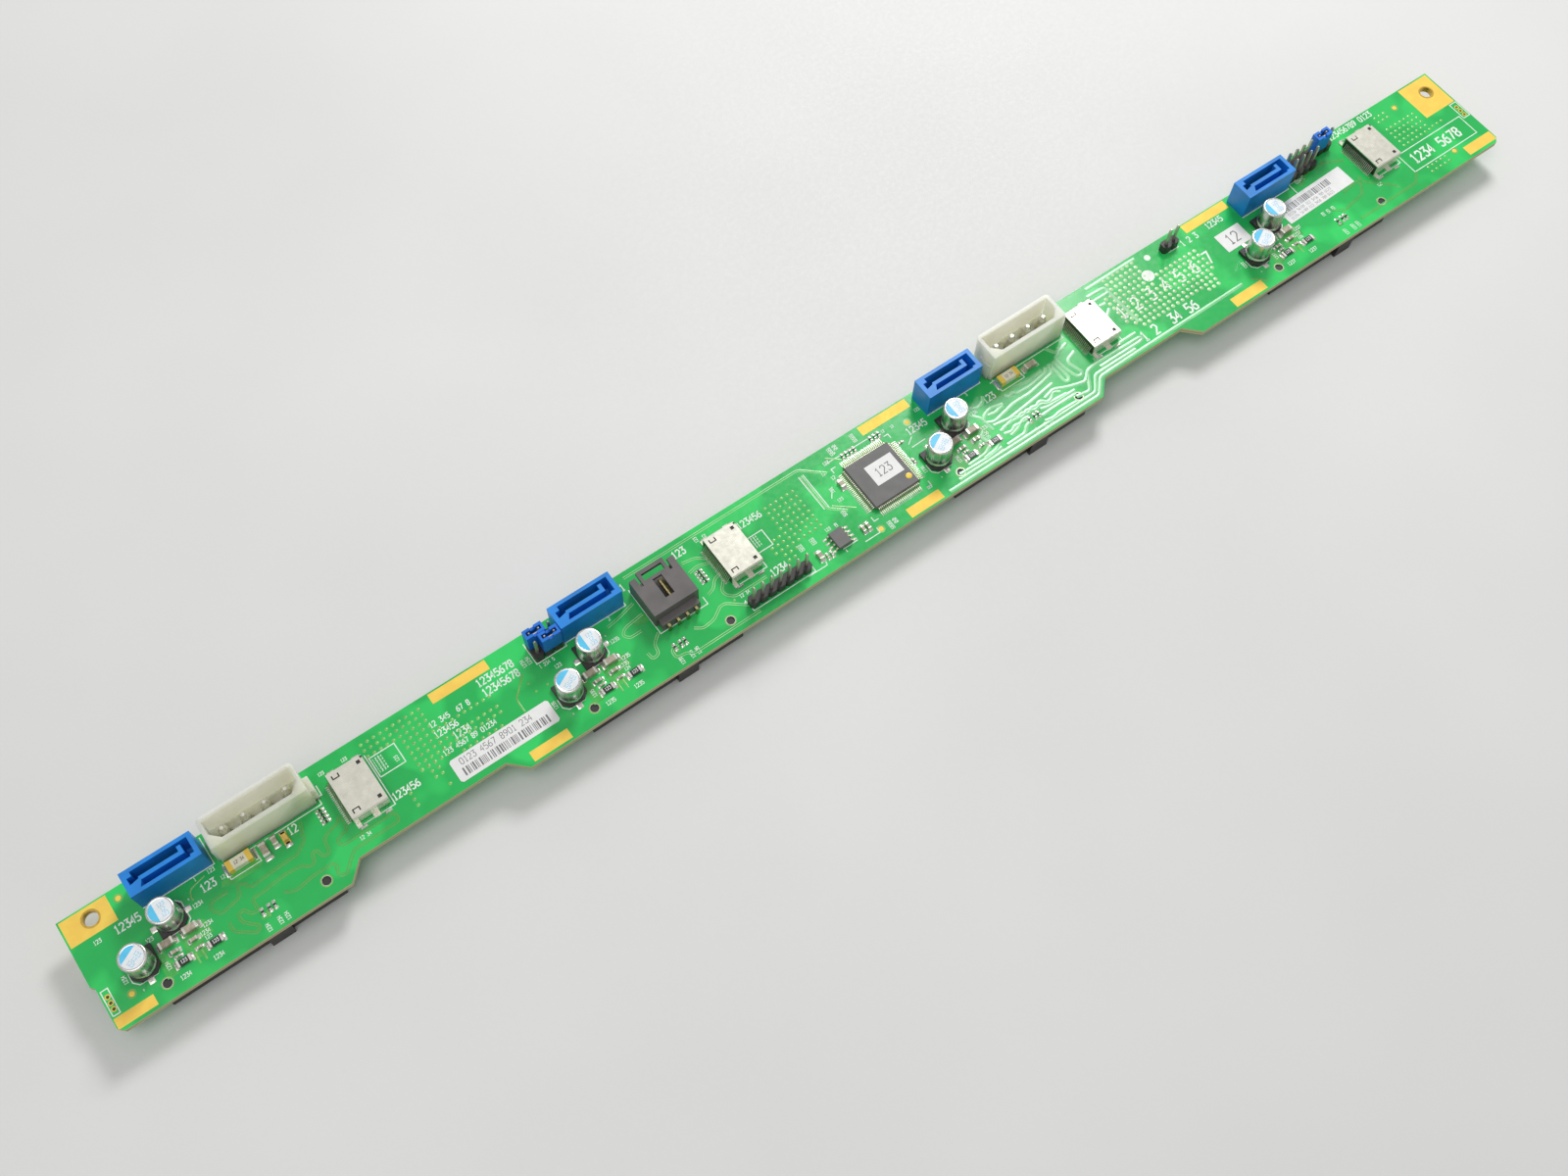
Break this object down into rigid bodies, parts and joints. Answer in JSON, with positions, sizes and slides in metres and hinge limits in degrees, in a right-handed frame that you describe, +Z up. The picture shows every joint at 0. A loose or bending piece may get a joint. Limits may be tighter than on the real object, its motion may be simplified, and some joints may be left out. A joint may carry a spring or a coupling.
{
  "type": "drive backplane board",
  "caption": "Long narrow drive backplane board: keyed data, shrouded power and shielded cable sockets on one face, drive receptacles along one edge of the other.",
  "frame": {"origin": "axis of the left mounting hole, at the board's underside, which is the drive side", "axes": "+X along the board from the left mounting hole to the right end, +Y from the drive receptacles' edge towards the edge beside the data connectors, +Z up out of the component side"},
  "size_m": [0.4145, 0.0289, 0.0188],
  "materials": {
    "board_green": "glossy solder mask over glass laminate",
    "blue_plastic": "moulded, slightly glossy",
    "cream_plastic": "moulded, translucent cream",
    "black_plastic": "moulded, fine grain",
    "chip_black": "moulded, matt",
    "gold_metal": "gold plated",
    "tin_metal": "tin plated",
    "shell_metal": "nickel plated sheet",
    "can_metal": "drawn can",
    "ceramic_brown": "fired ceramic",
    "resistor_black": "glazed",
    "fuse_cream": "ceramic body",
    "lamp_amber": "clear amber lens",
    "paper_white": "paper label"
  },
  "bodies": {
    "root": {"circuit_board": "board_green", "data_connector_housing_1": "blue_plastic", "drive_connector_housing_1": "black_plastic", "drive_connector_contacts_1": "gold_metal", "cable_connector_shell_1": "shell_metal", "cable_connector_body_1": "black_plastic", "cable_connector_leads_1": "tin_metal", "data_connector_housing_2": "blue_plastic", "drive_connector_housing_2": "black_plastic", "drive_connector_contacts_2": "gold_metal", "cable_connector_shell_2": "shell_metal", "cable_connector_body_2": "black_plastic", "cable_connector_leads_2": "tin_metal", "data_connector_housing_3": "blue_plastic", "drive_connector_housing_3": "black_plastic", "drive_connector_contacts_3": "gold_metal", "cable_connector_shell_3": "shell_metal", "cable_connector_body_3": "black_plastic", "cable_connector_leads_3": "tin_metal", "data_connector_housing_4": "blue_plastic", "drive_connector_housing_4": "black_plastic", "drive_connector_contacts_4": "gold_metal", "cable_connector_shell_4": "shell_metal", "cable_connector_body_4": "black_plastic", "cable_connector_leads_4": "tin_metal", "data_connector_contacts": "gold_metal", "power_connector_housing_1": "cream_plastic", "power_connector_pins_1": "tin_metal", "power_connector_housing_2": "cream_plastic", "power_connector_pins_2": "tin_metal", "capacitor_cans": "can_metal", "capacitor_bases": "black_plastic", "capacitor_terminals": "tin_metal", "programming_header_base": "black_plastic", "programming_header_pins": "gold_metal", "selector_header_base": "black_plastic", "selector_header_pins": "gold_metal", "test_header_base": "black_plastic", "test_header_pins": "gold_metal", "signal_header_base": "black_plastic", "signal_header_pins": "gold_metal", "reset_header_base": "black_plastic", "reset_header_pins": "gold_metal", "jumper_caps": "blue_plastic", "jumper_clips": "tin_metal", "side_entry_header_housing": "black_plastic", "side_entry_header_pins": "gold_metal", "controller_chip_body": "chip_black", "controller_chip_leads": "tin_metal", "memory_chip_body": "chip_black", "memory_chip_leads": "tin_metal", "chip_capacitor_bodies": "ceramic_brown", "chip_capacitor_ends": "tin_metal", "chip_resistor_bodies": "resistor_black", "chip_resistor_ends": "tin_metal", "fuse_bodies": "fuse_cream", "fuse_end_caps": "gold_metal", "indicator_lamp": "lamp_amber", "paper_labels": "paper_white"}
  },
  "joints": []
}
